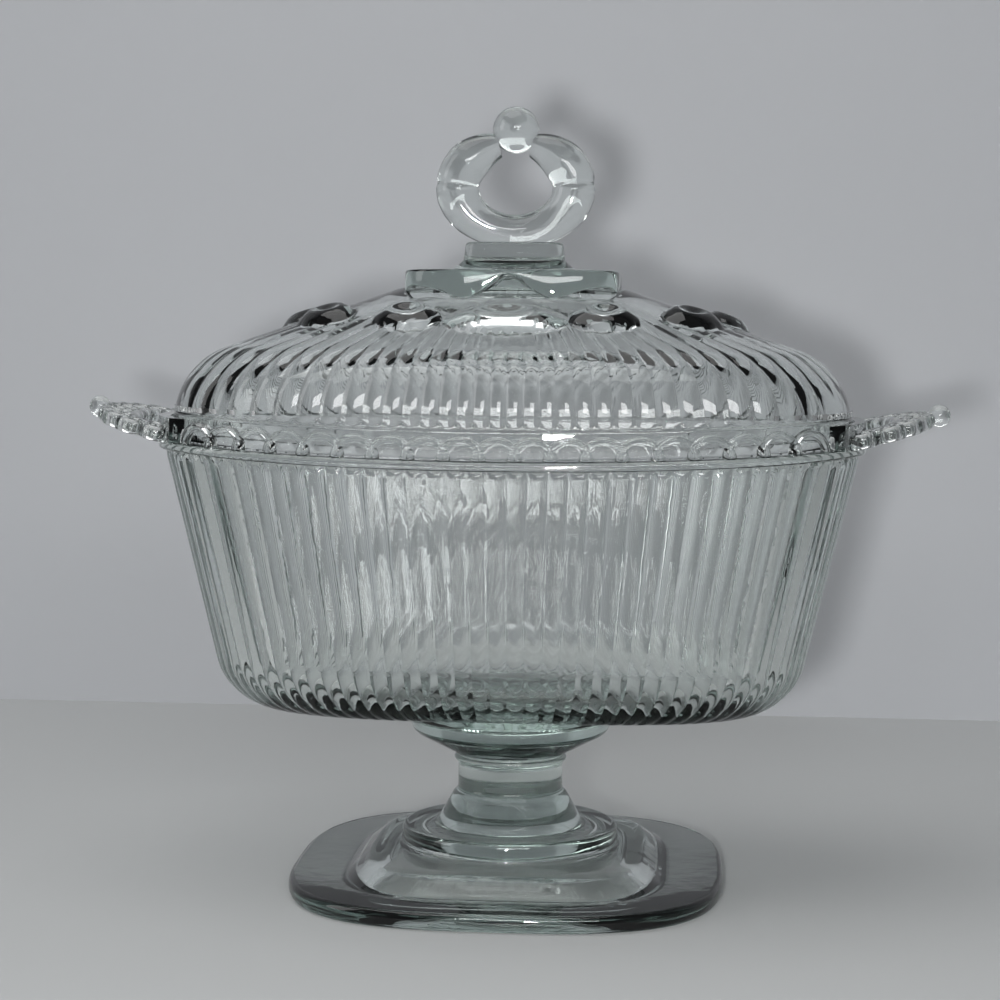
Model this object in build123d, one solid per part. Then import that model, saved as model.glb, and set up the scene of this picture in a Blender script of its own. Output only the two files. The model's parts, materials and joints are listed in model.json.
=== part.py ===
from build123d import *
import math
import os

# Covered dish of pressed clear glass, in millimetres, with +Z up.
# The origin is on the table, under the middle of the foot. X runs from handle to handle.

# Foot: a flat rounded-square plate, a raised pad on it and a round step on the pad
foot_half_x = 57.0
foot_half_y = 60.0
foot_plate_height = 4.4
foot_squareness = 3.0
foot_edge_radius = 1.6
pad_half_x = 41.0
pad_half_y = 45.0
pad_height = 5.0
pad_draft = 6.0
pad_squareness = 4.0
step_radius = 28.6
step_height = 5.2
step_edge_radius = 1.8
foot_wall = 4.6
foot_hollow_roof = 5.0

# Stem: a flared cone, a plain shaft between two beads and a saucer-shaped collar
cone_radius = 19.6
cone_height = 8.0
cone_lip = 1.2
cone_lip_height = 1.6
stem_radius = 13.9
stem_length = 10.8
bead_radius = 1.3
collar_radius = 27.0
collar_draft = 1.0
collar_edge_height = 6.9
collar_cone_height = 6.1

# Basin: half-sizes are those of the wall at the ledge
basin_half_x = 90.0
basin_half_y = 56.0
basin_height = 65.0
basin_taper_x = 16.4
basin_taper_y = 11.4
basin_squareness = 3.1
basin_heel_radius = 13.0
basin_inner_heel_radius = 8.0
basin_wall = 5.0
basin_floor = 6.0
rib_count = 100
rib_crest = 0.9

# Ledge and its saddle: the rim stands higher at the two ends than at the middle of the sides
ledge_overhang = 1.7
ledge_height = 2.3
rim_rise = 3.4

# Open-lace edge round the cover
lace_height = 6.0
lace_thickness = 2.8
lace_pitch = 8.6
lace_bar = 1.9
lace_lap = 0.3
lace_flat = 0.2
lace_inset = 0.3
lace_reach = 80.0

# Handles: a lace tab at each end
handle_tilt = 13.5
handle_thickness = 4.2
handle_half_width = 31.0
handle_depth = 21.6
handle_loop_radius = 4.5
handle_loop_hole_radius = 2.4
handle_bar = 3.4
handle_bar_lap = 1.0
handle_loop_reach = 1.0
handle_loop_pitch = 8.2
handle_ball_radius = 2.9
handle_root_lift = 1.6

# Cover: half-sizes are those of its foot ring
seat_clearance = 0.3
cover_side_clearance = 0.5
cover_band_height = 7.6
cover_wall = 4.2
cover_top_half_x = 29.0
cover_top_half_y = 17.5
cover_height = 42.5
cover_shoulder_x = 21.0
cover_shoulder_height = 22.0
shoulder_sweep = 0.8
shoulder_share = 0.45
cover_squareness = 2.9
cover_rib_crest = 0.8
cover_top_crest = 0.36

# Ring of oval lobes on the cover: a long bow at the front and back, shorter lobes between
lobe_ring_x = 56.0
lobe_ring_y = 33.5
lobe_ring_squareness = 2.4
bow_half_length = 15.8
bow_half_width = 6.2
lobe_half_length = 11.4
lobe_half_width = 6.6
lobe_height = 4.2
lobe_edge_radius = 2.0
lobe_dimple = 1.6
lobe_dimple_share = 0.45

# Crown plate with a scalloped skirt, and the neck of the finial
crown_half_x = 27.9
crown_half_y = 23.0
crown_height = 4.2
crown_squareness = 4.6
crown_skirt_height = 3.4
crown_scallop_radius = 6.4
crown_scallop_inset = 5.8
crown_scallop_count = 8
neck_half_x = 12.9
neck_half_y = 7.2
neck_height = 7.6
neck_flare = 3.2
neck_squareness = 4.0

# Finial: a ring of two tapering arms under a ball
ring_half_width = 15.3
ring_half_height = 11.4
arm_radius = 5.7
arm_foot_radius = 4.4
arm_tip_radius = 3.3
arm_end_angle = 72.0
arm_taper_angle = 35.0
ring_sink = 1.5
ball_radius = 6.1
ball_rise = 3.6

# Heights that follow from the sizes above
pad_z = foot_plate_height
step_z = pad_z + pad_height
cone_z = step_z + step_height
shaft_z = cone_z + cone_height
collar_z = shaft_z + stem_length
basin_z = collar_z + collar_cone_height + collar_edge_height
ledge_z = basin_z + basin_height
ledge_top_z = ledge_z + ledge_height
cover_z = ledge_top_z + seat_clearance
rib_z = cover_z + cover_band_height
crown_z = cover_z + cover_height
neck_z = crown_z + crown_height
ring_z = neck_z + neck_height + ring_half_height + arm_foot_radius - ring_sink
ball_z = ring_z + ring_half_height + ball_rise

# Half-sizes that follow from the sizes above
ledge_half_x = basin_half_x + ledge_overhang
ledge_half_y = basin_half_y + ledge_overhang
lace_outer_x = ledge_half_x - lace_inset
lace_outer_y = ledge_half_y - lace_inset
lace_inner_x = lace_outer_x - lace_thickness
lace_inner_y = lace_outer_y - lace_thickness
cover_half_x = lace_inner_x - cover_side_clearance
cover_half_y = lace_inner_y - cover_side_clearance

# Drawing steps that shape nothing by themselves
curve_points = 64
length_steps = 1440
past = 30.0
heel_steps = 5
cover_steps = 9
arm_steps = 9


def squared_oval(half_x, half_y, squareness, angle):
    """Point of a squared oval with bowed sides, at an angle seen from its centre."""
    across = abs(math.cos(angle) / half_x) ** squareness
    along = abs(math.sin(angle) / half_y) ** squareness
    radius = (across + along) ** (-1.0 / squareness)
    return radius * math.cos(angle), radius * math.sin(angle)


def even_points(half_x, half_y, squareness, count):
    """Points spaced evenly along a squared oval, the first at the middle of the front."""
    start = -math.pi / 2
    angles = [start + 2 * math.pi * step / length_steps for step in range(length_steps + 1)]
    outline = [squared_oval(half_x, half_y, squareness, angle) for angle in angles]
    lengths = [0.0]
    for before, after in zip(outline, outline[1:]):
        lengths.append(lengths[-1] + math.dist(before, after))
    points = []
    step = 0
    for index in range(count):
        target = lengths[-1] * index / count
        while lengths[step + 1] < target:
            step += 1
        share = (target - lengths[step]) / (lengths[step + 1] - lengths[step])
        before, after = outline[step], outline[step + 1]
        points.append(
            (
                before[0] + share * (after[0] - before[0]),
                before[1] + share * (after[1] - before[1]),
            )
        )
    return points


def plain_section(half_x, half_y, squareness, height):
    """Level face with the outline of a squared oval."""
    points = even_points(half_x, half_y, squareness, curve_points)
    outline = Spline(*[(x, y, height) for x, y in points], periodic=True)
    return make_face(outline)


def ribbed_section(half_x, half_y, squareness, height, crest):
    """Level face whose outline is a ring of rounded ribs that touch the squared oval."""
    valleys = even_points(half_x - crest, half_y - crest, squareness, 2 * rib_count)
    crests = even_points(half_x, half_y, squareness, 2 * rib_count)
    edges = []
    for rib in range(rib_count):
        first = valleys[2 * rib - 1]
        top = crests[2 * rib]
        last = valleys[2 * rib + 1]
        edges.append(ThreePointArc((*first, height), (*top, height), (*last, height)))
    return make_face(edges)


def plain_prism(half_x, half_y, squareness, low, high):
    """Upright prism with the outline of a squared oval."""
    return extrude(plain_section(half_x, half_y, squareness, low), high - low, dir=(0, 0, 1))


def saddle_height(x, middle_height):
    """Height of a rim surface at x, where the rim is middle_height high at x = 0."""
    radius = (ledge_half_x**2 + rim_rise**2) / (2 * rim_rise)
    return middle_height + radius - math.sqrt(radius**2 - x**2)


def saddle_block(low_middle, high_middle):
    """Everything between two rim surfaces, each hollow along X and straight along Y."""
    reach = ledge_half_x + past
    low_end = saddle_height(reach, low_middle)
    high_end = saddle_height(reach, high_middle)
    low_arc = ThreePointArc((-reach, 0, low_end), (0, 0, low_middle), (reach, 0, low_end))
    right = Line((reach, 0, low_end), (reach, 0, high_end))
    high_arc = ThreePointArc((reach, 0, high_end), (0, 0, high_middle), (-reach, 0, high_end))
    left = Line((-reach, 0, high_end), (-reach, 0, low_end))
    side = make_face([low_arc, right, high_arc, left])
    return extrude(side, ledge_half_y + past, dir=(0, 1, 0), both=True)


def top_edges(shape):
    """Edges round the highest face of a shape."""
    return shape.faces().sort_by(Axis.Z)[-1].edges()


def heel_inset(share):
    """How far a heel of radius 1 has drawn in, at a share of its own height."""
    return 1 - math.sqrt(1 - (1 - share) ** 2)


def make_foot():
    """Rounded-square plate, raised pad and round step, hollow underneath."""
    plate = plain_prism(foot_half_x, foot_half_y, foot_squareness, 0, foot_plate_height)
    plate = fillet(top_edges(plate), foot_edge_radius)
    pad_low = plain_section(pad_half_x, pad_half_y, pad_squareness, pad_z)
    pad_high = plain_section(pad_half_x - pad_draft, pad_half_y - pad_draft, pad_squareness, step_z)
    pad = loft([pad_low, pad_high])
    step = Pos(0, 0, step_z) * Cylinder(
        step_radius, step_height, align=(Align.CENTER, Align.CENTER, Align.MIN)
    )
    step = fillet(top_edges(step), step_edge_radius)
    hollow_x = pad_half_x - foot_wall
    hollow_y = pad_half_y - foot_wall
    hollow_low = plain_section(hollow_x, hollow_y, pad_squareness, 0)
    hollow_mid_z = step_z - foot_wall
    hollow_mid = plain_section(
        hollow_x - pad_draft, hollow_y - pad_draft, pad_squareness, hollow_mid_z
    )
    hollow = loft([hollow_low, hollow_mid])
    roof = Cylinder(
        step_radius - foot_wall,
        cone_z - foot_hollow_roof,
        align=(Align.CENTER, Align.CENTER, Align.MIN),
    )
    return plate + pad + step - hollow - roof


def make_stem():
    """Flared cone, shaft with a bead at each end, and the collar that the basin stands on."""
    outline = Polyline(
        (0, 0, cone_z),
        (cone_radius, 0, cone_z),
        (cone_radius - cone_lip, 0, cone_z + cone_lip_height),
        (stem_radius + bead_radius, 0, shaft_z),
        (stem_radius, 0, shaft_z + bead_radius),
        (stem_radius, 0, collar_z - 2 * bead_radius),
        (stem_radius + bead_radius, 0, collar_z - bead_radius),
        (stem_radius, 0, collar_z),
        (collar_radius - collar_draft, 0, basin_z - collar_edge_height),
        (collar_radius, 0, basin_z - collar_edge_height / 2),
        (collar_radius, 0, basin_z),
        (0, 0, basin_z),
        (0, 0, cone_z),
    )
    return revolve(make_face(outline), Axis.Z)


def basin_sections(inset, floor, heel, crest):
    """Sections of the basin from its heel to above the ledge, drawn in by the inset."""
    slope_x = basin_taper_x / basin_height
    slope_y = basin_taper_y / basin_height
    low = basin_z + floor
    high = ledge_z + rim_rise + past / 3
    turns = [math.pi / 2 * step / heel_steps for step in range(heel_steps + 1)]
    heights = [low + heel * (1 - math.cos(turn)) for turn in turns] + [high]
    sections = []
    for height in heights:
        share = min((height - low) / heel, 1.0)
        drawn_in = inset + heel * heel_inset(share)
        half_x = basin_half_x - (ledge_z - height) * slope_x - drawn_in
        half_y = basin_half_y - (ledge_z - height) * slope_y - drawn_in
        if crest:
            sections.append(ribbed_section(half_x, half_y, basin_squareness, height, crest))
        else:
            sections.append(plain_section(half_x, half_y, basin_squareness, height))
    return sections


def make_basin():
    """Ribbed tapering basin with a flat ledge round its mouth."""
    outside = loft(basin_sections(0, 0, basin_heel_radius, rib_crest), ruled=True)
    outside &= saddle_block(basin_z - past, ledge_z + ledge_height / 2)
    ledge = plain_prism(ledge_half_x, ledge_half_y, basin_squareness, ledge_z - past, ledge_z + past)
    ledge &= saddle_block(ledge_z, ledge_top_z)
    inside = loft(basin_sections(basin_wall, basin_floor, basin_inner_heel_radius, 0), ruled=True)
    return outside + ledge - inside


def make_lace(side):
    """Row of open loops along one long side; side is -1 for the front and 1 for the back."""
    middle_x = lace_outer_x - lace_thickness / 2
    middle_y = lace_outer_y - lace_thickness / 2
    trace = even_points(middle_x, middle_y, basin_squareness, length_steps)
    perimeter = sum(math.dist(a, b) for a, b in zip(trace, trace[1:] + trace[:1]))
    count = 2 * round(perimeter / lace_pitch / 2)
    pitch = perimeter / count
    loop_radius = pitch / 2 + lace_lap
    shank = lace_height + lace_flat - loop_radius
    hole_radius = loop_radius - lace_bar
    hole = Pos(0, shank / 2) * Rectangle(2 * hole_radius, shank) + Pos(0, shank) * Circle(hole_radius)
    notch = Pos(0, shank + loop_radius / 2) * Rectangle(pitch, loop_radius)
    notch -= Pos(-pitch / 2, shank) * Circle(loop_radius)
    notch -= Pos(pitch / 2, shank) * Circle(loop_radius)
    hole_tool = extrude(Plane.XZ * hole, 3 * lace_thickness, both=True)
    notch_tool = extrude(Plane.XZ * notch, 3 * lace_thickness, both=True)
    places = even_points(middle_x, middle_y, basin_squareness, 2 * count)
    tools = []
    for index, (x, y) in enumerate(places):
        if y * side <= 0 or abs(x) > lace_reach - pitch / 2:
            continue
        before = places[index - 1]
        after = places[(index + 1) % len(places)]
        turn = math.degrees(math.atan2(after[1] - before[1], after[0] - before[0]))
        tool = notch_tool if index % 2 else hole_tool
        tools.append(Pos(x, y, saddle_height(x, ledge_top_z)) * Rot(0, 0, turn) * tool)
    side_box = Pos(0, side * (ledge_half_y + past) / 2, ledge_z) * Box(
        2 * lace_reach, ledge_half_y + past, 4 * past
    )
    low = ledge_z - past
    high = ledge_z + past
    outer = plain_prism(lace_outer_x, lace_outer_y, basin_squareness, low, high)
    inner = plain_prism(lace_inner_x, lace_inner_y, basin_squareness, low, high)
    wall = (outer - inner) & side_box & saddle_block(ledge_top_z, ledge_top_z + lace_height)
    return wall.cut(*tools)


def handle_sketch():
    """Flat shape of a handle: X runs outward from the ledge, Y along the end of the basin."""
    arch_depth = handle_depth - handle_loop_radius
    whole = even_points(arch_depth, handle_half_width, 2, length_steps)
    around = sum(math.dist(a, b) for a, b in zip(whole, whole[1:] + whole[:1]))
    count = 4 * round(around / handle_loop_pitch / 4)
    loops = []
    holes = []
    for x, y in even_points(arch_depth, handle_half_width, 2, count):
        if x < -handle_loop_reach:
            continue
        loops.append(Pos(x, y) * Circle(handle_loop_radius))
        holes.append(Pos(x, y) * Circle(handle_loop_hole_radius))
    bar_depth = arch_depth - handle_loop_radius + handle_bar_lap
    bar_half = handle_half_width - handle_loop_radius + handle_bar_lap
    bar_outer = Ellipse(bar_depth, bar_half)
    window = Ellipse(bar_depth - handle_bar, bar_half - handle_bar)
    root_half = handle_half_width + handle_loop_radius
    root = Pos(-handle_bar / 2, 0) * Rectangle(3 * handle_bar, 2 * root_half)
    ahead = Pos(handle_bar + bar_depth, 0) * Rectangle(2 * bar_depth, 2 * root_half)
    body = Sketch() + bar_outer + root + loops
    return body - (window & ahead) - holes


def make_handle(side):
    """Lace tab at one end; side is -1 for the left handle and 1 for the right one."""
    root_z = saddle_height(ledge_half_x, ledge_top_z) + handle_root_lift
    tab = extrude(handle_sketch(), handle_thickness / 2, both=True)
    ball = Pos(handle_depth + handle_ball_radius / 2, 0) * Sphere(handle_ball_radius)
    tab = Pos(lace_inner_x, 0, root_z) * Rot(0, -handle_tilt, 0) * (tab + ball)
    low = ledge_z - past
    high = ledge_z + past
    end_box = Pos(ledge_half_x, 0, ledge_z) * Box(
        2 * (handle_depth + lace_inset), 2 * (handle_half_width + handle_loop_radius), 4 * past
    )
    wall = plain_prism(lace_outer_x, lace_outer_y, basin_squareness, low, high)
    wall &= end_box
    wall &= saddle_block(ledge_top_z, ledge_top_z + lace_height)
    inside = plain_prism(lace_inner_x, lace_inner_y, basin_squareness, low, high)
    ledge = plain_prism(ledge_half_x, ledge_half_y, basin_squareness, low, high)
    ledge &= saddle_block(ledge_z - past, ledge_top_z)
    handle = (tab - inside - ledge) + (wall - inside)
    if side < 0:
        handle = mirror(handle, Plane.YZ)
    return handle


def cover_profile(share, inset):
    """Half-sizes and height of the cover, from its ribs (share 0) to its crown (share 1)."""
    radius_x = cover_shoulder_x - inset
    radius_z = cover_shoulder_height - inset
    if share < shoulder_share:
        angle = share / shoulder_share * math.pi / 2 * shoulder_sweep
        drawn_in = inset + radius_x * (1 - math.cos(angle))
        height = rib_z + radius_z * math.sin(angle)
    else:
        angle = math.pi / 2 * shoulder_sweep
        part = (share - shoulder_share) / (1 - shoulder_share)
        start_in = inset + radius_x * (1 - math.cos(angle))
        start_z = rib_z + radius_z * math.sin(angle)
        drawn_in = start_in + (cover_half_x - cover_top_half_x - start_in) * part
        height = start_z + (crown_z - inset - start_z) * part
    reach = 1 - drawn_in / (cover_half_x - cover_top_half_x)
    half_y = cover_top_half_y + (cover_half_y - cover_top_half_y) * reach
    return cover_half_x - drawn_in, half_y, height


def make_dome():
    """Ribbed dome of the cover with a plain band at its foot."""
    shares = [step / cover_steps for step in range(cover_steps + 1)]
    ribbed = []
    hollow = []
    for share in shares:
        half_x, half_y, height = cover_profile(share, 0)
        crest = cover_rib_crest + (cover_top_crest - cover_rib_crest) * share
        ribbed.append(ribbed_section(half_x, half_y, cover_squareness, height, crest))
        half_x, half_y, height = cover_profile(share, cover_wall)
        hollow.append(plain_section(half_x, half_y, cover_squareness, height))
    low = cover_z - past
    band = plain_prism(cover_half_x, cover_half_y, cover_squareness, low, rib_z)
    band &= saddle_block(cover_z, rib_z + past)
    inner_x, inner_y, _ = cover_profile(0, cover_wall)
    mouth = plain_prism(inner_x, inner_y, cover_squareness, low, rib_z)
    return loft(ribbed, ruled=True) + band - loft(hollow, ruled=True) - mouth


def dome_height(x, y):
    """Height of the dome over a place, and zero outside it."""
    low, high = 0.0, 1.0
    for _ in range(30):
        share = (low + high) / 2
        half_x, half_y, _ = cover_profile(share, 0)
        if (abs(x) / half_x) ** cover_squareness + (abs(y) / half_y) ** cover_squareness < 1:
            low = share
        else:
            high = share
    return cover_profile(low, 0)[2]


def lobe_places():
    """Place, turn and half-sizes of each lobe, in a ring round the crown."""
    trace = even_points(lobe_ring_x, lobe_ring_y, lobe_ring_squareness, length_steps)
    around = sum(math.dist(a, b) for a, b in zip(trace, trace[1:] + trace[:1]))
    quarter = around / 4
    first = bow_half_length + lobe_half_length
    second = (first + quarter) / 2
    bow = (bow_half_length, bow_half_width)
    small = (lobe_half_length, lobe_half_width)
    offsets = [(0, bow), (first, small), (second, small), (-first, small), (-second, small)]
    spots = [(middle + offset, size) for middle in (0, 2 * quarter) for offset, size in offsets]
    spots += [(quarter, small), (3 * quarter, small)]
    places = []
    for distance, size in spots:
        index = round(distance / around * length_steps) % length_steps
        before = trace[index - 1]
        after = trace[(index + 1) % length_steps]
        turn = math.atan2(after[1] - before[1], after[0] - before[0])
        places.append((*trace[index], turn, *size))
    return places


def make_lobes():
    """Raised oval lobes, each with a dimple, lying on the slope of the dome."""
    lobes = []
    for x, y, turn, half_length, half_width in lobe_places():
        pad = extrude(Ellipse(half_length, half_width), 2 * lobe_height)
        pad = fillet(top_edges(pad), lobe_edge_radius)
        dimple_shape = Ellipse(half_length * lobe_dimple_share, half_width * lobe_dimple_share)
        dimple = extrude(dimple_shape, lobe_dimple)
        pad -= Pos(0, 0, 2 * lobe_height - lobe_dimple) * dimple
        out_x = math.sin(turn) * half_width
        out_y = -math.cos(turn) * half_width
        drop = dome_height(x - out_x, y - out_y) - dome_height(x + out_x, y + out_y)
        slope = math.degrees(math.atan2(drop, 2 * half_width))
        place = Pos(x, y, dome_height(x, y)) * Rot(0, 0, math.degrees(turn)) * Rot(slope, 0, 0)
        lobes.append(place * Pos(0, 0, -lobe_height) * pad)
    return lobes


def make_crown():
    """Crown plate on the dome with a scalloped skirt, and the neck that carries the finial."""
    plate = plain_prism(crown_half_x, crown_half_y, crown_squareness, crown_z, neck_z)
    plate = fillet(top_edges(plate), crown_height / 4)
    scallops = []
    ring_x = crown_half_x - crown_scallop_inset
    ring_y = crown_half_y - crown_scallop_inset
    places = even_points(ring_x, ring_y, crown_squareness, 2 * crown_scallop_count)
    for x, y in places[1::2]:
        scallops.append(
            Pos(x, y, crown_z - crown_skirt_height)
            * Cylinder(
                crown_scallop_radius,
                crown_skirt_height + crown_height / 2,
                align=(Align.CENTER, Align.CENTER, Align.MIN),
            )
        )
    middle_z = neck_z + neck_height / 2
    wide_x = neck_half_x + neck_flare
    wide_y = neck_half_y + neck_flare
    wide = plain_section(wide_x, wide_y, neck_squareness, neck_z)
    narrow = plain_section(neck_half_x, neck_half_y, neck_squareness, middle_z)
    top_z = neck_z + neck_height
    neck = plain_prism(neck_half_x, neck_half_y, neck_squareness, middle_z, top_z)
    return plate + scallops + loft([wide, narrow]) + neck


def arm_radius_at(angle):
    """Radius of an arm of the ring, at an angle seen from the ring's middle."""
    if angle < 0:
        return arm_foot_radius + (arm_radius - arm_foot_radius) * math.cos(angle) ** 2
    taper = math.radians(arm_taper_angle)
    share = max(0.0, (angle - taper) / (math.radians(arm_end_angle) - taper))
    return arm_radius - (arm_radius - arm_tip_radius) * share**1.5


def make_finial():
    """Ring of two tapering arms that meet under a ball."""
    arms = []
    for side in (-1, 1):
        sections = []
        for step in range(arm_steps + 1):
            angle = -math.pi / 2 + step / arm_steps * math.radians(90 + arm_end_angle)
            x = side * ring_half_width * math.cos(angle)
            z = ring_z + ring_half_height * math.sin(angle)
            toward_x = -side * ring_half_width * math.sin(angle)
            toward = Vector(toward_x, 0, ring_half_height * math.cos(angle))
            plane = Plane(origin=(x, 0, z), x_dir=(0, 1, 0), z_dir=toward)
            sections.append(plane * Circle(arm_radius_at(angle)))
        arms.append(loft(sections))
    ball = Pos(0, 0, ball_z) * Sphere(ball_radius)
    return arms[0] + arms[1] + ball


def main():
    os.makedirs("parts", exist_ok=True)
    dome = make_dome()
    lobed = dome + make_lobes()
    crown = make_crown() - lobed
    finial = make_finial() - crown
    nodes = {
        "foot": make_foot(),
        "stem": make_stem(),
        "basin": make_basin(),
        "lace_front": make_lace(-1),
        "lace_back": make_lace(1),
        "handle_left": make_handle(-1),
        "handle_right": make_handle(1),
        "cover_dome": lobed,
        "cover_crown": crown,
        "finial": finial,
    }
    for name, shape in nodes.items():
        shape.label = name
        export_step(shape, f"parts/{name}.step")


main()
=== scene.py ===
import json
import math

import bmesh
import bpy
import numpy as np
from mathutils import Matrix, Vector


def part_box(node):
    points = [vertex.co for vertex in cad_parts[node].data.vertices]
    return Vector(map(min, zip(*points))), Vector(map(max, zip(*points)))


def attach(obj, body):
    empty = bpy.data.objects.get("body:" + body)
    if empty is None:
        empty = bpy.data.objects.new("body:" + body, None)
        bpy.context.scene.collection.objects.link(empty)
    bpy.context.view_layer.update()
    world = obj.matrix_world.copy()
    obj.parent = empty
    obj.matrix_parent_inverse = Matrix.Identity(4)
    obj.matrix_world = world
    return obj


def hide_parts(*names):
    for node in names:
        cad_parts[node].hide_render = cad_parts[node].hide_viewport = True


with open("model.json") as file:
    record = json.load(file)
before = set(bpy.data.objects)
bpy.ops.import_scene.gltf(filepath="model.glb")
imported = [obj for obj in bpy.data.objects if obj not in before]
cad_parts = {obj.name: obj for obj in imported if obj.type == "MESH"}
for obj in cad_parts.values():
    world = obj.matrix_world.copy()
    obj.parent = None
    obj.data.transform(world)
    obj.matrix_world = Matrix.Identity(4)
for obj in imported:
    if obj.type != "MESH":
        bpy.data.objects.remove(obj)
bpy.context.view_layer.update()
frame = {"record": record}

mm = 0.001

# Boxes of the solids that the glass follows
foot_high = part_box("foot")[1]
stem_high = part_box("stem")[1]
basin_low, basin_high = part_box("basin")
dome_low, dome_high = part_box("cover_dome")
crown_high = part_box("cover_crown")[1]
finial_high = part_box("finial")[1]

# Foot
foot_half = np.array((foot_high[0], foot_high[1]))
foot_top = foot_high[2]
foot_squareness = 3.0
plate_height = 4.4 * mm
plate_edge = 0.5 * mm
plate_belly = 0.45 * plate_height
pad_half = np.array((41.0, 45.0)) * mm
pad_height = 9.4 * mm
pad_draft = 6.0 * mm
pad_squareness = 4.0
pad_top_squareness = 3.8
step_radius = 28.6 * mm
hollow_half = pad_half - 4.6 * mm
hollow_shoulder = 4.7 * mm
hollow_shoulder_squareness = 3.6
hollow_bore_radius = 24.2 * mm
hollow_bore_start = 5.6 * mm
hollow_bore_draft = 0.8 * mm
hollow_roof = foot_top - 5.0 * mm

# Stem
round_power = 2.0
cone_radius = 19.6 * mm
cone_lip = 1.8 * mm
cone_height = 8.0 * mm
stem_radius = 13.9 * mm
bead = 1.3 * mm
collar_radius = stem_high[0]
collar_edge_height = 6.9 * mm
collar_cone_height = 6.1 * mm

# Saddle of the rim: it stands higher at the ends than at the middle of the long sides
rim_rise = 3.4 * mm
ledge_height = 2.3 * mm
ledge_overhang = 1.7 * mm
ledge_half = np.array((basin_high[0], basin_high[1]))
ledge_top = basin_high[2] - rim_rise
ledge_bottom = ledge_top - ledge_height
squareness = 3.1

# Basin
basin_bottom = basin_low[2]
basin_wall = 5.0 * mm
basin_floor = basin_bottom + 6.0 * mm
basin_taper = np.array((16.4, 11.4)) * mm
heel_radius = 13.0 * mm
inner_heel_radius = 9.0 * mm
heel_steps = 10

# Ribs
basin_ribs = 100
cover_ribs = 84
rib_steps = 8
basin_crest = 0.9 * mm
cover_crest = 0.8 * mm
heel_crest_share = 0.55
top_crest_share = 0.35

# Lace edge
lace_height = 6.0 * mm
lace_thickness = 2.8 * mm
lace_pitch = 8.6 * mm
lace_inset = 0.3 * mm
lace_reach = 80.0 * mm
lace_bar = 1.0 * mm
lace_foot_bar = 1.2 * mm
lace_sink = 0.6 * mm
arch_half_share = 0.6
arch_steps = 18
arch_sides = 12
end_wall_steps = 40

# Handles
handle_tilt = math.radians(13.5)
handle_half_width = 31.0 * mm
handle_depth = 21.6 * mm
handle_root_lift = 1.6 * mm
handle_root_depth = 2.0 * mm
handle_bar_gap = 0.7 * mm
handle_bar_half = (1.7 * mm, 2.1 * mm)
handle_loop_radius = 4.5 * mm
handle_loop_pitch = 8.2 * mm
handle_loop_half = (1.15 * mm, 1.9 * mm)
handle_ball_radius = 2.9 * mm
handle_bar_steps = 48
handle_loop_steps = 28
handle_fine_steps = 720

# Dome of the cover: a plain band, a round shoulder and a gentle slope up to the crown
dome_half = np.array((dome_high[0], dome_high[1]))
dome_top = dome_high[2]
cover_bottom = dome_low[2]
cover_squareness = 2.9
cover_wall = 4.2 * mm
cover_wall_y = 0.62 * cover_wall
dome_top_half = (29.0 * mm, 17.5 * mm)
shoulder_start = cover_bottom + 7.6 * mm
shoulder_radius_x = 21.0 * mm
shoulder_radius_z = 20.4 * mm
shoulder_sweep = math.radians(72)
shoulder_share = 0.45
hollow_steps = 20
dome_steps = 100
dome_first_step = 4

# Plain glass at the dome's ends, where the ribs run out
plain_end_share = 0.85
plain_end_fade = 0.07
plain_end_top = 140.0 * mm
plain_end_drop = 8.0 * mm

# Ring of lobes on the dome
lobe_ring = (56.0 * mm, 33.5 * mm)
lobe_ring_squareness = 2.4
lobe_ring_steps = 3600
lobe_reach = 75.0 * mm
bow_half = (15.8 * mm, 6.2 * mm)
lobe_half = (9.0 * mm, 5.8 * mm)
lobe_height = 3.8 * mm
lobe_fullness = 0.8
dimple_depth = 2.0 * mm
dimple_share = 0.6
calm_edge = 1.06
calm_fade = 0.1
calm_height = 0.8 * mm

# Crown plate and neck
crown_half = np.array((27.9, 23.0)) * mm
crown_squareness = 4.6
crown_top = crown_high[2]
crown_plate = dome_top + 4.2 * mm
crown_root = dome_top - 2.9 * mm
skirt_bottom = dome_top - 3.4 * mm
skirt_arch = 4.3 * mm
skirt_arch_change = 1.2 * mm
skirt_arches = 8
skirt_fullness = 0.8
neck_squareness = 4.0

# Finial
arm_radius = 5.7 * mm
arm_foot_radius = 4.4 * mm
arm_tip_radius = 3.3 * mm
arm_taper_start = math.radians(35)
arm_taper_end = math.radians(72)
arm_start = math.radians(-97)
arm_end = math.radians(74)
arm_steps = 90
arm_sides = 40
groove_place = math.radians(4)
groove_width = math.radians(3)
groove_share = 0.07
finial_ball_radius = 6.1 * mm
finial_ball_rise = 3.6 * mm
finial_ring_half = (finial_high[0] - arm_radius, 11.4 * mm)


def oval_reach(angles, power):
    """Reach of a squared oval of half-size 1 at the angles of its own unit frame."""
    return (np.abs(np.cos(angles)) ** power + np.abs(np.sin(angles)) ** power) ** (-1 / power)


def oval_line(half, power, steps=7200):
    """Angles, places and running length of fine points round a squared oval, from the middle of its front."""
    angles = np.linspace(-math.pi / 2, 1.5 * math.pi, steps + 1)
    reach = oval_reach(angles, power)
    x = half[0] * reach * np.cos(angles)
    y = half[1] * reach * np.sin(angles)
    length = np.concatenate([[0.0], np.cumsum(np.hypot(np.diff(x), np.diff(y)))])
    return angles, x, y, length


def even_angles(count):
    """Angles, in a squared oval's own unit frame, whose points lie evenly along the basin's rim."""
    angles, _, _, length = oval_line(ledge_half, squareness)
    return np.interp(length[-1] * (np.arange(count) / count), length, angles)


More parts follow.
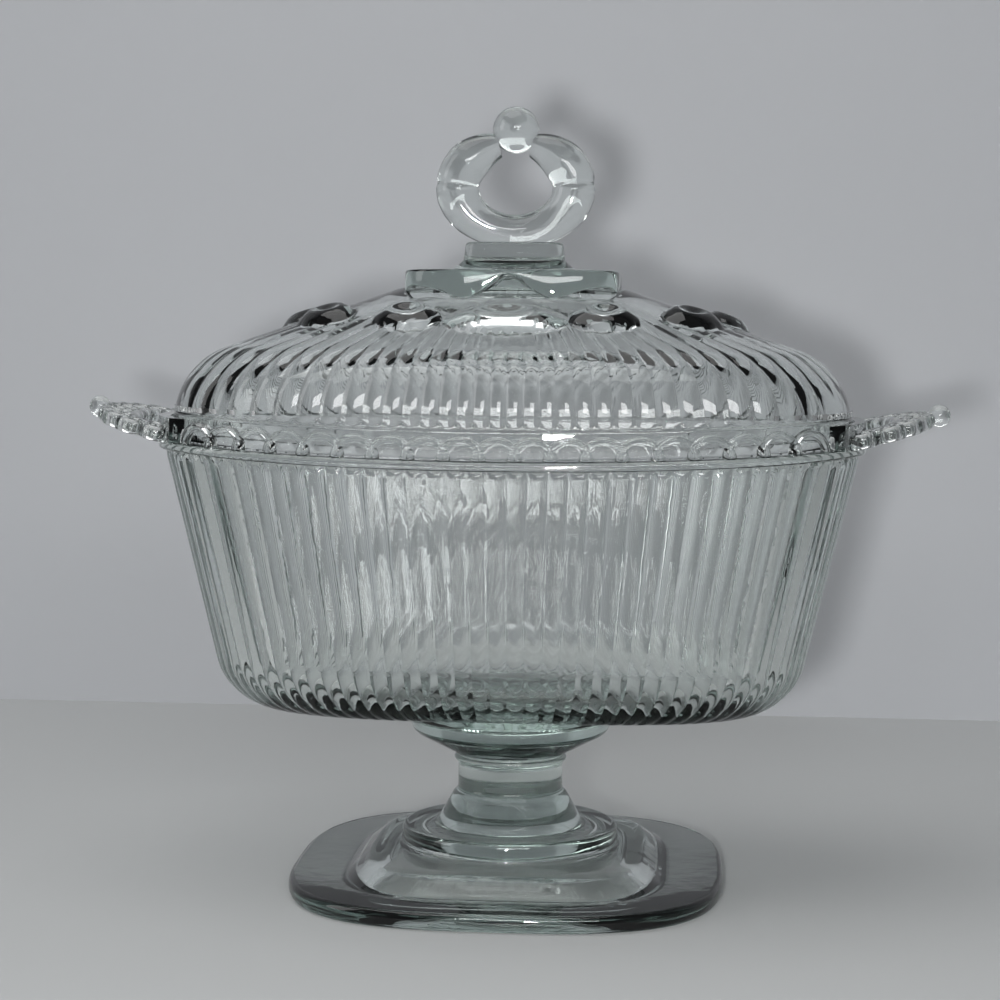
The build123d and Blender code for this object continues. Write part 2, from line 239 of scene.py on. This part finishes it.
def fan_angles(count):
    """Angles, in the cover's own unit frame, of rays that fan out evenly from its middle."""
    rays = -math.pi / 2 + 2 * math.pi * np.arange(count) / count
    return np.arctan2(np.sin(rays) / dome_half[1], np.cos(rays) / dome_half[0])


def rib_wave(count):
    """Height of a rib's round crest over its valleys, from 0 to 1, round a whole ring."""
    phase = ((np.arange(count) + rib_steps // 2) % rib_steps) / rib_steps
    return 1 - (2 * phase - 1) ** 2


basin_grid = (even_angles(basin_ribs * rib_steps), rib_wave(basin_ribs * rib_steps))
cover_grid = (fan_angles(cover_ribs * rib_steps), rib_wave(cover_ribs * rib_steps))


def saddle(x):
    """Rise of the rim at x over its height at the middle of the long sides."""
    return rim_rise * (x / ledge_half[0]) ** 2


def station(half, power, height, crest=0.0, share=0.0, radius=0.0):
    """One level ring: half-sizes, squareness, height, rib crest, share of the saddle and corner radius."""
    return np.array((half[0], half[1], power, height, crest, share, radius))


def round_station(radius, height, corner=0.0):
    """One level ring that is a circle."""
    return station((radius, radius), round_power, height, radius=corner)


def ring(level, grid):
    """Points of a station's ring."""
    angles, rib_shape = grid
    half_x, half_y, power, height, crest, share = level[:6]
    reach = oval_reach(angles, power)
    sunk = crest * (1 - rib_shape)
    x = (half_x - sunk) * reach * np.cos(angles)
    y = (half_y - sunk) * reach * np.sin(angles)
    return np.stack([x, y, height + share * saddle(x)], axis=1)


def rounded(stations, steps=4):
    """Stations with each corner rounded by its own radius."""
    result = [stations[0]]
    for before, here, after in zip(stations, stations[1:], stations[2:]):
        radius = here[6]
        if radius <= 0:
            result.append(here)
            continue
        back = before - here
        ahead = after - here
        start = here + back * min(radius / (math.hypot(back[0], back[3]) + 1e-9), 0.49)
        end = here + ahead * min(radius / (math.hypot(ahead[0], ahead[3]) + 1e-9), 0.49)
        for step in range(steps + 1):
            share = step / steps
            result.append((1 - share) ** 2 * start + 2 * share * (1 - share) * here + share**2 * end)
    result.append(stations[-1])
    return result


# Meshes
def add_piece(name, points, faces):
    """Object with a mesh of the given points and faces."""
    mesh = bpy.data.meshes.new(name)
    mesh.from_pydata(points, [], faces)
    mesh.update()
    piece = bpy.data.objects.new(name, mesh)
    bpy.context.scene.collection.objects.link(piece)
    return piece


def turn_outward(piece):
    """Turn all faces of a closed mesh outward."""
    work = bmesh.new()
    work.from_mesh(piece.data)
    bmesh.ops.recalc_face_normals(work, faces=work.faces)
    work.to_mesh(piece.data)
    work.free()


def skin(name, rings, low_pole, high_pole):
    """Closed mesh through a list of rings, with a pole at its first and last ring."""
    count = len(rings)
    columns = len(rings[0])
    starts = np.arange(count - 1)[:, None] * columns
    base = starts + np.arange(columns)
    ahead = starts + (np.arange(columns) + 1) % columns
    faces = np.stack([base, ahead, ahead + columns, base + columns], axis=-1).reshape(-1, 4).tolist()
    points = np.concatenate(rings + [np.array([low_pole, high_pole])])
    low_index = count * columns
    high_index = low_index + 1
    top = (count - 1) * columns
    for column in range(columns):
        after = (column + 1) % columns
        faces.append([low_index, after, column])
        faces.append([high_index, top + column, top + after])
    piece = add_piece(name, points.tolist(), faces)
    piece.data.validate()
    turn_outward(piece)
    return piece


def tube(name, path, frames, radii, closed=False, sides=16):
    """Closed tube along a path; frames give its two cross directions, radii its two radii."""
    points = []
    for point, (across, out), (radius_a, radius_b) in zip(path, frames, radii):
        for side in range(sides):
            turn = 2 * math.pi * side / sides
            points.append(point + across * (radius_a * math.cos(turn)) + out * (radius_b * math.sin(turn)))
    count = len(path)
    faces = []
    for span in range(count if closed else count - 1):
        here = span * sides
        after = (span + 1) % count * sides
        for side in range(sides):
            nearby = (side + 1) % sides
            faces.append([here + side, here + nearby, after + nearby, after + side])
    if not closed:
        faces.append(list(range(sides))[::-1])
        faces.append([(count - 1) * sides + side for side in range(sides)])
    piece = add_piece(name, [tuple(point) for point in points], faces)
    turn_outward(piece)
    return piece


def ball(name, centre, radius):
    """Round ball as a closed mesh."""
    work = bmesh.new()
    bmesh.ops.create_uvsphere(work, u_segments=48, v_segments=32, radius=radius)
    bmesh.ops.translate(work, vec=centre, verts=work.verts)
    piece = add_piece(name, [], [])
    work.to_mesh(piece.data)
    work.free()
    return piece


def discard(parts):
    """Delete parts and their meshes."""
    for part in parts:
        data = part.data
        bpy.data.objects.remove(part)
        bpy.data.meshes.remove(data)


def fuse(piece, parts):
    """Fuse closed parts to a piece and delete them."""
    bpy.context.view_layer.update()
    for part in parts:
        modifier = piece.modifiers.new("fuse", "BOOLEAN")
        modifier.operation = "UNION"
        modifier.solver = "MANIFOLD"
        modifier.object = part
    graph = bpy.context.evaluated_depsgraph_get()
    mesh = bpy.data.meshes.new_from_object(piece.evaluated_get(graph))
    piece.modifiers.clear()
    old = piece.data
    piece.data = mesh
    bpy.data.meshes.remove(old)
    discard(parts)
    return piece


def join(name, parts):
    """Join parts that don't touch each other into one object."""
    points = []
    faces = []
    for part in parts:
        offset = len(points)
        points += [tuple(vert.co) for vert in part.data.vertices]
        faces += [[offset + index for index in face.vertices] for face in part.data.polygons]
    discard(parts)
    return add_piece(name, points, faces)


# Dish
def foot_stations():
    """Stations from the roof of the foot's hollow, out under the plate and up over the pad to the step."""
    bore_top = hollow_bore_radius - hollow_bore_draft
    return [
        round_station(2.0 * mm, hollow_roof),
        round_station(bore_top, hollow_roof - 0.1 * mm, 2.0 * mm),
        round_station(hollow_bore_radius, hollow_bore_start, 1.2 * mm),
        station(hollow_half - pad_draft, hollow_shoulder_squareness, hollow_shoulder, radius=2.0 * mm),
        station(hollow_half, pad_squareness, 0.0, radius=0.8 * mm),
        station(foot_half - plate_edge, foot_squareness, 0.0, radius=1.0 * mm),
        station(foot_half, foot_squareness, plate_belly, radius=1.0 * mm),
        station(foot_half - plate_edge, foot_squareness, plate_height, radius=1.6 * mm),
        station(pad_half + 0.6 * mm, pad_squareness, plate_height + 0.1 * mm, radius=1.2 * mm),
        station(pad_half - pad_draft, pad_top_squareness, pad_height, radius=1.6 * mm),
        round_station(step_radius + 0.3 * mm, pad_height, 0.6 * mm),
        round_station(step_radius, foot_top, 1.6 * mm),
    ]


def stem_stations():
    """Stations of the flared cone, the shaft between its two beads and the saucer collar."""
    shaft_bottom = foot_top + cone_height
    collar_low = basin_bottom - collar_edge_height
    shaft_top = collar_low - collar_cone_height
    return [
        round_station(cone_radius + 0.4 * mm, foot_top, 0.6 * mm),
        round_station(cone_radius - 1.0 * mm, foot_top + cone_lip, 1.0 * mm),
        round_station(stem_radius + bead, shaft_bottom, 1.0 * mm),
        round_station(stem_radius, shaft_bottom + bead, 1.0 * mm),
        round_station(stem_radius, shaft_top - 2 * bead, 0.8 * mm),
        round_station(stem_radius + bead, shaft_top - bead, 0.8 * mm),
        round_station(stem_radius + 0.4 * mm, shaft_top, 0.6 * mm),
        round_station(collar_radius - 1.0 * mm, collar_low, 1.6 * mm),
        round_station(collar_radius, basin_bottom - collar_edge_height / 2, 1.2 * mm),
        round_station(collar_radius - 0.4 * mm, basin_bottom),
    ]


def basin_half_at(height):
    """Half-sizes of the basin's outside at a height."""
    share = (height - basin_bottom) / (ledge_bottom - basin_bottom)
    return ledge_half - ledge_overhang - basin_taper * (1 - share)


def heel_station(turn, radius, floor, inset, crest):
    """Station on a round heel, from its floor (turn 0) to its wall (a quarter turn)."""
    rise = radius * (1 - math.cos(turn))
    drawn = radius * (1 - math.sin(turn)) + inset
    return station(basin_half_at(floor + rise) - drawn, squareness, floor + rise, crest)


def rim_stations():
    """Stations from the basin's ribs over the ledge and in to its wall."""
    ribs_end = ledge_bottom - 2.4 * mm
    wall = ledge_half - ledge_overhang
    inner = wall - basin_wall
    return [
        station(basin_half_at(ribs_end), squareness, ribs_end, basin_crest, 1),
        station(wall - 0.35 * mm, squareness, ledge_bottom - 0.9 * mm, 0.75 * basin_crest, 1),
        station(wall - basin_crest, squareness, ledge_bottom - 0.1 * mm, 0, 1),
        station(ledge_half - 0.2 * mm, squareness, ledge_bottom, 0, 1, 0.7 * mm),
        station(ledge_half, squareness, ledge_top - 0.9 * mm, 0, 1, 0.7 * mm),
        station(ledge_half - 0.6 * mm, squareness, ledge_top, 0, 1, 0.6 * mm),
        station(inner, squareness, ledge_top, 0, 1, 1.0 * mm),
        station(inner - 0.6 * mm, squareness, ledge_top - 3.0 * mm, 0, 1),
    ]


def make_dish_body():
    """Foot, stem and ribbed basin as one closed skin."""
    stations = rounded(foot_stations() + stem_stations())
    turns = [math.pi / 2 * step / heel_steps for step in range(heel_steps + 1)]
    for turn in turns:
        crest = basin_crest * min(1.0, heel_crest_share + (1 - heel_crest_share) * turn)
        stations.append(heel_station(turn, heel_radius, basin_bottom, 0, crest))
    stations += rounded(rim_stations())
    for turn in reversed(turns):
        stations.append(heel_station(turn, inner_heel_radius, basin_floor, basin_wall, 0))
    stations.append(station((12.0 * mm, 8.0 * mm), 2.2, basin_floor - 0.2 * mm))
    rings = [ring(level, basin_grid) for level in stations]
    return skin("dish_glass", rings, (0, 0, stations[0][3]), (0, 0, stations[-1][3]))


def make_arch(foot, along, out, half_arch):
    """One arch of the lace, which stands on the ledge and reaches a little into it."""
    up = Vector((0, 0, 1))
    crown = lace_height - lace_bar
    depth = lace_thickness / 2
    path = [foot - along * half_arch - up * lace_sink]
    frames = [(-along, out)]
    for step in range(arch_steps + 1):
        turn = math.pi * (1 - step / arch_steps)
        path.append(foot + along * (half_arch * math.cos(turn)) + up * (crown * math.sin(turn)))
        normal = along * (crown * math.cos(turn)) + up * (half_arch * math.sin(turn))
        frames.append((normal.normalized(), out))
    path.append(foot + along * half_arch - up * lace_sink)
    frames.append((along, out))
    ends = [(lace_foot_bar, depth)]
    radii = ends + [(lace_bar, depth)] * (arch_steps + 1) + ends
    return tube("arch", path, frames, radii, sides=arch_sides)


def make_lace():
    """Crossing arches that stand on the ledge along both long sides."""
    _, line_x, line_y, length = oval_line(ledge_half - lace_inset - lace_thickness / 2, squareness)
    around = length[-1]
    count = 2 * round(around / lace_pitch / 2)
    half_arch = arch_half_share * around / count
    wanted = around * (np.arange(count) / count)
    x = np.interp(wanted, length, line_x)
    y = np.interp(wanted, length, line_y)
    arches = [[], []]
    for index in range(count):
        if abs(x[index]) > lace_reach:
            continue
        before = Vector((x[index - 1], y[index - 1], 0))
        after = Vector((x[(index + 1) % count], y[(index + 1) % count], 0))
        along = (after - before).normalized()
        out = Vector((along.y, -along.x, 0))
        foot = Vector((x[index], y[index], ledge_top + saddle(x[index])))
        arches[index % 2].append(make_arch(foot, along, out, half_arch))
    return [join("arches_even", arches[0]), join("arches_odd", arches[1])]


def handle_place(side):
    """Matrix from a handle's flat frame to the dish."""
    inner_x = ledge_half[0] - lace_inset - lace_thickness
    root_z = ledge_top + rim_rise + handle_root_lift
    matrix = Matrix.Translation((inner_x, 0, root_z)) @ Matrix.Rotation(-handle_tilt, 4, "Y")
    if side < 0:
        matrix = Matrix.Rotation(math.pi, 4, "Z") @ matrix
    return matrix


def flat_tube(name, points, half, matrix, closed):
    """Tube along a flat line of points in a handle's frame; half is its half-width and half-height."""
    count = len(points)
    turn_only = matrix.to_3x3()
    up = Vector((0, 0, 1))
    path = []
    frames = []
    for index, point in enumerate(points):
        before = points[index - 1] if closed or index > 0 else point
        after = points[(index + 1) % count] if closed or index < count - 1 else point
        along = (Vector(after) - Vector(before)).normalized()
        path.append(matrix @ Vector(point))
        frames.append((turn_only @ along.cross(up), turn_only @ up))
    return tube(name, path, frames, [half] * count, closed=closed)


def handle_bar():
    """Line of a handle's arched bar, with both its roots."""
    depth = handle_depth - 2 * handle_loop_radius - handle_bar_gap
    half = handle_half_width - handle_loop_radius - handle_bar_gap
    line = [(-handle_root_depth, -half, 0)]
    for step in range(handle_bar_steps + 1):
        turn = math.pi * (step / handle_bar_steps - 0.5)
        line.append((depth * math.cos(turn), half * math.sin(turn), 0))
    line.append((-handle_root_depth, half, 0))
    return line


def handle_loop_centres():
    """Middles of a handle's loops, evenly spaced along its arch, with one at the tip."""
    depth = handle_depth - handle_loop_radius
    line = []
    for step in range(handle_fine_steps + 1):
        turn = math.pi * (step / handle_fine_steps - 0.5)
        line.append((depth * math.cos(turn), handle_half_width * math.sin(turn)))
    lengths = [0.0]
    for before, after in zip(line, line[1:]):
        lengths.append(lengths[-1] + math.dist(before, after))
    count = 2 * round(lengths[-1] / handle_loop_pitch / 2) + 1
    centres = []
    for index in range(count):
        target = lengths[-1] * index / (count - 1)
        nearest = min(range(len(line)), key=lambda step: abs(lengths[step] - target))
        centres.append(line[nearest])
    return centres


def make_handle(side):
    """Parts of one handle: the arched bar, its row of loops and the ball at the tip."""
    matrix = handle_place(side)
    loops = [[], []]
    middle_radius = handle_loop_radius - handle_loop_half[0]
    for index, (x, y) in enumerate(handle_loop_centres()):
        circle = []
        for step in range(handle_loop_steps):
            turn = 2 * math.pi * step / handle_loop_steps
            circle.append((x + middle_radius * math.cos(turn), y + middle_radius * math.sin(turn), 0))
        loops[index % 2].append(flat_tube("loop", circle, handle_loop_half, matrix, True))
    tip = matrix @ Vector((handle_depth + handle_ball_radius / 2, 0, 0))
    return [
        flat_tube("bar", handle_bar(), handle_bar_half, matrix, False),
        join("loops_even", loops[0]),
        join("loops_odd", loops[1]),
        ball("tip_ball", tip, handle_ball_radius),
    ]


def end_wall(side):
    """Low wall at one end of the rim, between the lace rows, from which the handle springs."""
    outer = ledge_half - lace_inset
    half_length = handle_half_width + handle_loop_radius
    points = []
    for step in range(end_wall_steps + 1):
        y = half_length * (2 * step / end_wall_steps - 1)
        for half_x, half_y in (outer, outer - lace_thickness):
            x = half_x * (1 - (abs(y) / half_y) ** squareness) ** (1 / squareness)
            base = ledge_top + saddle(x)
            points += [(side * x, y, base - lace_sink), (side * x, y, base + lace_height)]
    faces = []
    for step in range(end_wall_steps):
        a = 4 * step
        b = a + 4
        faces += [[a, a + 1, b + 1, b], [a + 3, a + 2, b + 2, b + 3]]
        faces += [[a + 1, a + 3, b + 3, b + 1], [a + 2, a, b, b + 2]]
    last = 4 * end_wall_steps
    faces += [[0, 2, 3, 1], [last, last + 1, last + 3, last + 2]]
    piece = add_piece("end_wall", points, faces)
    turn_outward(piece)
    return piece


# Cover
def dome_profile(share, inset):
    """Half-sizes and height of the dome, from its ribs' foot (share 0) to its crown (share 1)."""
    top_x, top_y = dome_top_half
    span = dome_half[0] - top_x
    turn = shoulder_sweep * min(share / shoulder_share, 1.0)
    drawn = inset + (shoulder_radius_x - inset) * (1 - math.cos(turn))
    height = shoulder_start + (shoulder_radius_z - inset) * math.sin(turn)
    if share > shoulder_share:
        part = (share - shoulder_share) / (1 - shoulder_share)
        drawn += (span - drawn) * part
        height += (dome_top - inset - height) * part
    half_y = top_y + (dome_half[1] - top_y) * (1 - drawn / span)
    return (dome_half[0] - drawn, half_y), height


def cover_rim_stations():
    """Stations from the cover's inside, under its rim and up the plain band to the foot of the ribs."""
    inner = dome_half - np.array((cover_wall, cover_wall_y))
    power = cover_squareness
    base = cover_bottom
    return [
        station(inner, power, base + 3.0 * mm, 0, 0.7),
        station(inner + 0.5 * mm, power, base, 0, 1, 0.9 * mm),
        station(dome_half - 0.3 * mm, power, base, 0, 1, 0.8 * mm),
        station(dome_half, power, base + 3.0 * mm, 0, 1, 0.5 * mm),
        station(dome_half, power, base + 6.6 * mm, 0, 1, 0.5 * mm),
        station(dome_half - 0.5 * mm, power, base + 7.4 * mm, 0, 0.9, 0.4 * mm),
        station(dome_half - 0.2 * mm, power, base + 8.6 * mm, 0.8 * cover_crest, 0.6, 0.4 * mm),
        station(dome_half, power, base + 10.5 * mm, cover_crest, 0.3),
    ]


def cover_stations():
    """Stations from the roof of the cover's hollow, down to its rim and up over the dome to the crown."""
    stations = [station((3.0 * mm, 2.0 * mm), 2.2, dome_top - cover_wall)]
    for step in range(hollow_steps, -1, -1):
        half, height = dome_profile(step / hollow_steps, cover_wall)
        stations.append(station(half, cover_squareness, height))
    stations += rounded(cover_rim_stations())
    for step in range(dome_first_step, dome_steps):
        share = step / dome_steps
        half, height = dome_profile(share, 0)
        crest = cover_crest * (top_crest_share + (1 - top_crest_share) * (1 - share))
        stations.append(station(half, cover_squareness, height, crest))
    return stations


def lobe_places():
    """Middle, direction and half-sizes of the 12 lobes, which lie along a squared oval."""
    _, line_x, line_y, length = oval_line(lobe_ring, lobe_ring_squareness, lobe_ring_steps)
    around = length[-1]
    quarter = around / 4
    first = bow_half[0] + lobe_half[0]
    second = (first + quarter) / 2
    spots = []
    for middle in (0.0, 2 * quarter):
        spots.append((middle, bow_half))
        for offset in (-first, -second, first, second):
            spots.append((middle + offset, lobe_half))
    spots += [(quarter, lobe_half), (3 * quarter, lobe_half)]
    places = []
    for spot, half in spots:
        here = spot % around
        ahead = (here + mm) % around
        x = np.interp(here, length, line_x)
        y = np.interp(here, length, line_y)
        turn = math.atan2(np.interp(ahead, length, line_y) - y, np.interp(ahead, length, line_x) - x)
        places.append((x, y, turn, half))
    return places


def lobe_field(x, y, places):
    """Height of the ring of lobes over the dome at places x and y, and how plain the glass is there."""
    field = np.zeros_like(x)
    for centre_x, centre_y, turn, (half_length, half_width) in places:
        along = (x - centre_x) * math.cos(turn) + (y - centre_y) * math.sin(turn)
        across = -(x - centre_x) * math.sin(turn) + (y - centre_y) * math.cos(turn)
        spread = np.sqrt((along / half_length) ** 2 + (across / half_width) ** 2)
        swell = lobe_height * np.clip(1 - spread**2, 0, 1) ** lobe_fullness
        dimple = dimple_depth * np.clip(1 - (spread / dimple_share) ** 2, 0, 1) ** 2
        field = np.maximum(field, swell - dimple)
    power = lobe_ring_squareness
    within = (np.abs(x / lobe_ring[0]) ** power + np.abs(y / lobe_ring[1]) ** power) ** (1 / power)
    inside_ring = np.clip((calm_edge - within) / calm_fade, 0, 1)
    return field, np.maximum(inside_ring, np.clip(field / calm_height, 0, 1))


def dome_ring(level, places):
    """Ring of the dome's outside, with ribs that fade where the glass is plain, and with its lobes."""
    points = ring(level, cover_grid)
    plain_level = np.array(level)
    plain_level[4] = 0
    plain = ring(plain_level, cover_grid)
    blend = np.clip((np.abs(points[:, 0]) / dome_half[0] - plain_end_share) / plain_end_fade, 0, 1)
    blend *= np.clip((plain_end_top - points[:, 2]) / plain_end_drop, 0, 1)
    rise = 0
    if level[0] <= lobe_reach:
        rise, calm = lobe_field(plain[:, 0], plain[:, 1], places)
        blend = np.maximum(calm, blend)
    points += (plain - points) * blend[:, None]
    points[:, 2] += rise
    return points


def make_dome():
    """Ribbed dome with its band at the foot and the ring of lobes, as one closed skin."""
    stations = cover_stations()
    places = lobe_places()
    rings = [dome_ring(level, places) if level[4] > 0 else ring(level, cover_grid) for level in stations]
    return skin("cover_glass", rings, (0, 0, stations[0][3]), (0, 0, stations[-1][3]))


def skirt_rings():
    """Rings of the crown's skirt: its edge hangs in waves, with an arched recess between each two."""
    turns = cover_grid[0]
    arches = (0.5 + 0.5 * np.cos(skirt_arches * turns)) ** skirt_fullness
    edge = skirt_bottom + (skirt_arch + skirt_arch_change * np.cos(skirt_arches / 2 * turns)) * arches
    rings = []
    for shrink, height in (
        (7.6 * mm, crown_root),
        (7.0 * mm, edge),
        (0.6 * mm, edge),
        (0.1 * mm, edge + 0.3 * mm),
        (0.0, edge + 0.9 * mm),
        (0.0, crown_plate - 0.9 * mm),
        (0.3 * mm, crown_plate - 0.2 * mm),
    ):
        row = ring(station(crown_half - shrink, crown_squareness, 0), cover_grid)
        row[:, 2] = height
        rings.append(row)
    return rings


def make_crown():
    """Crown plate with its skirt and the neck on it."""
    power = neck_squareness
    neck = [
        station(crown_half - 0.9 * mm, crown_squareness, crown_plate),
        station((16.6 * mm, 10.8 * mm), power, crown_plate + 0.1 * mm, radius=1.2 * mm),
        station((14.0 * mm, 8.3 * mm), power, crown_plate + 2.3 * mm, radius=0.8 * mm),
        station((13.4 * mm, 7.6 * mm), power, crown_plate + 2.9 * mm, radius=0.4 * mm),
        station((12.8 * mm, 7.1 * mm), power, crown_top - 0.2 * mm, radius=0.7 * mm),
        station((11.5 * mm, 6.0 * mm), power, crown_top, radius=0.3 * mm),
        station((4.0 * mm, 2.0 * mm), 3.0, crown_top),
    ]
    rings = skirt_rings() + [ring(level, cover_grid) for level in rounded(neck)]
    return skin("crown", rings, (0, 0, crown_root), (0, 0, crown_top))


def arm_radius_at(turn):
    """Radius of a finial arm at an angle seen from the ring's middle, with a groove at mid-height."""
    if turn < 0:
        radius = arm_foot_radius + (arm_radius - arm_foot_radius) * math.cos(turn) ** 2
    else:
        share = max(0.0, (turn - arm_taper_start) / (arm_taper_end - arm_taper_start))
        radius = arm_radius - (arm_radius - arm_tip_radius) * share**1.5
    groove = math.exp(-(((turn - groove_place) / groove_width) ** 2))
    return radius * (1 - groove_share * groove)


def make_finial():
    """Two tapering arms and the ball on them."""
    half_width, half_height = finial_ring_half
    ball_z = finial_high[2] - finial_ball_radius
    ring_z = ball_z - finial_ball_rise - half_height
    parts = []
    for side in (-1, 1):
        path = []
        frames = []
        radii = []
        for step in range(arm_steps + 1):
            turn = arm_start + (arm_end - arm_start) * step / arm_steps
            x = side * half_width * math.cos(turn)
            z = ring_z + half_height * math.sin(turn)
            path.append(Vector((x, 0, z)))
            out = Vector((side * half_height * math.cos(turn), 0, half_width * math.sin(turn)))
            frames.append((out.normalized(), Vector((0, 1, 0))))
            radii.append((arm_radius_at(turn), arm_radius_at(turn)))
        parts.append(tube("arm", path, frames, radii, sides=arm_sides))
    parts.append(ball("finial_ball", (0, 0, ball_z), finial_ball_radius))
    return parts


# Glass
glass_colour = (0.985, 0.995, 0.99, 1)
glass_tint = (0.60, 0.72, 0.68, 1)
glass_tint_density = 24.0
glass_roughness = 0.01
glass_index = 1.51
wave_scale = 160.0
wave_detail = 2.0
wave_strength = 0.12
wave_depth = 0.4 * mm


def glass_material():
    """Clear pressed glass with a faint green-grey tint in its thick parts and a fire-polished wave."""
    material = bpy.data.materials.new("clear_pressed_glass")
    material.use_nodes = True
    nodes = material.node_tree.nodes
    links = material.node_tree.links
    shader = nodes["Principled BSDF"]
    shader.inputs["Base Color"].default_value = glass_colour
    shader.inputs["Roughness"].default_value = glass_roughness
    shader.inputs["IOR"].default_value = glass_index
    shader.inputs["Transmission Weight"].default_value = 1.0
    place = nodes.new("ShaderNodeTexCoord")
    wave = nodes.new("ShaderNodeTexNoise")
    wave.inputs["Scale"].default_value = wave_scale
    wave.inputs["Detail"].default_value = wave_detail
    bump = nodes.new("ShaderNodeBump")
    bump.inputs["Strength"].default_value = wave_strength
    bump.inputs["Distance"].default_value = wave_depth
    links.new(place.outputs["Object"], wave.inputs["Vector"])
    links.new(wave.outputs["Fac"], bump.inputs["Height"])
    links.new(bump.outputs["Normal"], shader.inputs["Normal"])
    volume = nodes.new("ShaderNodeVolumeAbsorption")
    volume.inputs["Color"].default_value = glass_tint
    volume.inputs["Density"].default_value = glass_tint_density
    links.new(volume.outputs["Volume"], nodes["Material Output"].inputs["Volume"])
    return material


def dress(piece, body, nodes, material):
    """Give a piece its glass and smooth shading, and let it ride its body in place of the body's nodes."""
    piece.data.materials.clear()
    piece.data.materials.append(material)
    for face in piece.data.polygons:
        face.use_smooth = True
    piece.data.set_sharp_from_angle(angle=math.radians(40))
    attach(piece, body)
    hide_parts(*nodes)


bodies = frame["record"]["behaviour"]["bodies"]
glass = glass_material()
dish = make_dish_body()
dish = fuse(dish, make_lace() + [end_wall(-1), end_wall(1)] + make_handle(-1) + make_handle(1))
dress(dish, "dish", bodies["dish"], glass)
cover = make_dome()
cover = fuse(cover, [make_crown()] + make_finial())
dress(cover, "cover", bodies["cover"], glass)

# Room: pale floor and wall, which reach far to every side
far = 3.0
wall_y = 0.262
floor_z = -0.2 * mm
floor_colour = (0.50, 0.51, 0.51, 1)
wall_colour = (0.44, 0.45, 0.47, 1)
stage_roughness = 0.7


def plain_material(name, colour):
    """Plain matt paint."""
    material = bpy.data.materials.new(name)
    material.use_nodes = True
    shader = material.node_tree.nodes["Principled BSDF"]
    shader.inputs["Roughness"].default_value = stage_roughness
    shader.inputs["Base Color"].default_value = colour
    return material


def open_from_behind(material):
    """Let the back of a plane pass light and sight, so that the object can be seen from every side."""
    tree = material.node_tree
    side = tree.nodes.new("ShaderNodeNewGeometry")
    clear = tree.nodes.new("ShaderNodeBsdfTransparent")
    mix = tree.nodes.new("ShaderNodeMixShader")
    tree.links.new(side.outputs["Backfacing"], mix.inputs["Fac"])
    tree.links.new(tree.nodes["Principled BSDF"].outputs["BSDF"], mix.inputs[1])
    tree.links.new(clear.outputs["BSDF"], mix.inputs[2])
    tree.links.new(mix.outputs["Shader"], tree.nodes["Material Output"].inputs["Surface"])


def make_stage(name, corners, colour):
    """Flat part of the room."""
    stage = add_piece(name, corners, [list(range(len(corners)))])
    stage.data.materials.append(plain_material(name, colour))
    return stage


floor_corners = [(-far, -far, floor_z), (far, -far, floor_z), (far, far, floor_z), (-far, far, floor_z)]
wall_corners = [(-far, wall_y, floor_z), (far, wall_y, floor_z), (far, wall_y, far), (-far, wall_y, far)]
make_stage("floor", floor_corners, floor_colour)
wall = make_stage("wall", wall_corners, wall_colour)
open_from_behind(wall.data.materials[0])


def make_lamp(name, place, aim, size, power):
    """Area lamp at a place, turned to where it aims."""
    data = bpy.data.lights.new(name, "AREA")
    data.shape = "RECTANGLE"
    data.size, data.size_y = size
    data.energy = power
    lamp = bpy.data.objects.new(name, data)
    lamp.location = place
    lamp.rotation_euler = (Vector(aim) - Vector(place)).to_track_quat("-Z", "Y").to_euler()
    bpy.context.scene.collection.objects.link(lamp)


make_lamp("key", place=(0.008, -0.62, 0.125), aim=(0, 0, 0.11), size=(0.03, 0.03), power=2.5)
make_lamp("front", place=(0.1, -0.72, 0.34), aim=(0, 0, 0.12), size=(0.45, 0.12), power=1.6)
make_lamp("top", place=(-0.2, -0.1, 1.3), aim=(0, 0, 0.1), size=(1.0, 1.0), power=6.0)
make_lamp("side", place=(-1.2, -0.4, 0.6), aim=(0, 0, 0.12), size=(0.5, 1.0), power=3.0)

world_colour = (0.15, 0.155, 0.16, 1)
world = bpy.data.worlds.new("room")
world.use_nodes = True
world.node_tree.nodes["Background"].inputs["Color"].default_value = world_colour
world.node_tree.nodes["Background"].inputs["Strength"].default_value = 1.0
bpy.context.scene.world = world
bpy.context.scene.view_settings.view_transform = "Standard"

# Camera at the photograph's place
camera_distance = 0.581
camera_height = 0.143
camera_turn = math.radians(4.5)
camera_pitch = math.radians(4.18)
camera_roll = math.radians(0.5)
camera_aside = -0.0034
focal_pixels = 2200.0
frame_pixels = 1000.0
sensor = 36.0

camera_data = bpy.data.cameras.new("camera")
camera_data.sensor_width = sensor
camera_data.lens = focal_pixels / frame_pixels * sensor
camera = bpy.data.objects.new("camera", camera_data)
bpy.context.scene.collection.objects.link(camera)
turn = Matrix.Rotation(camera_turn, 4, "Z")
place = Matrix.Translation((camera_aside, -camera_distance, camera_height))
tilt = Matrix.Rotation(math.pi / 2 - camera_pitch, 4, "X")
roll = Matrix.Rotation(camera_roll, 4, "Z")
camera.matrix_world = turn @ place @ tilt @ roll
bpy.context.scene.camera = camera
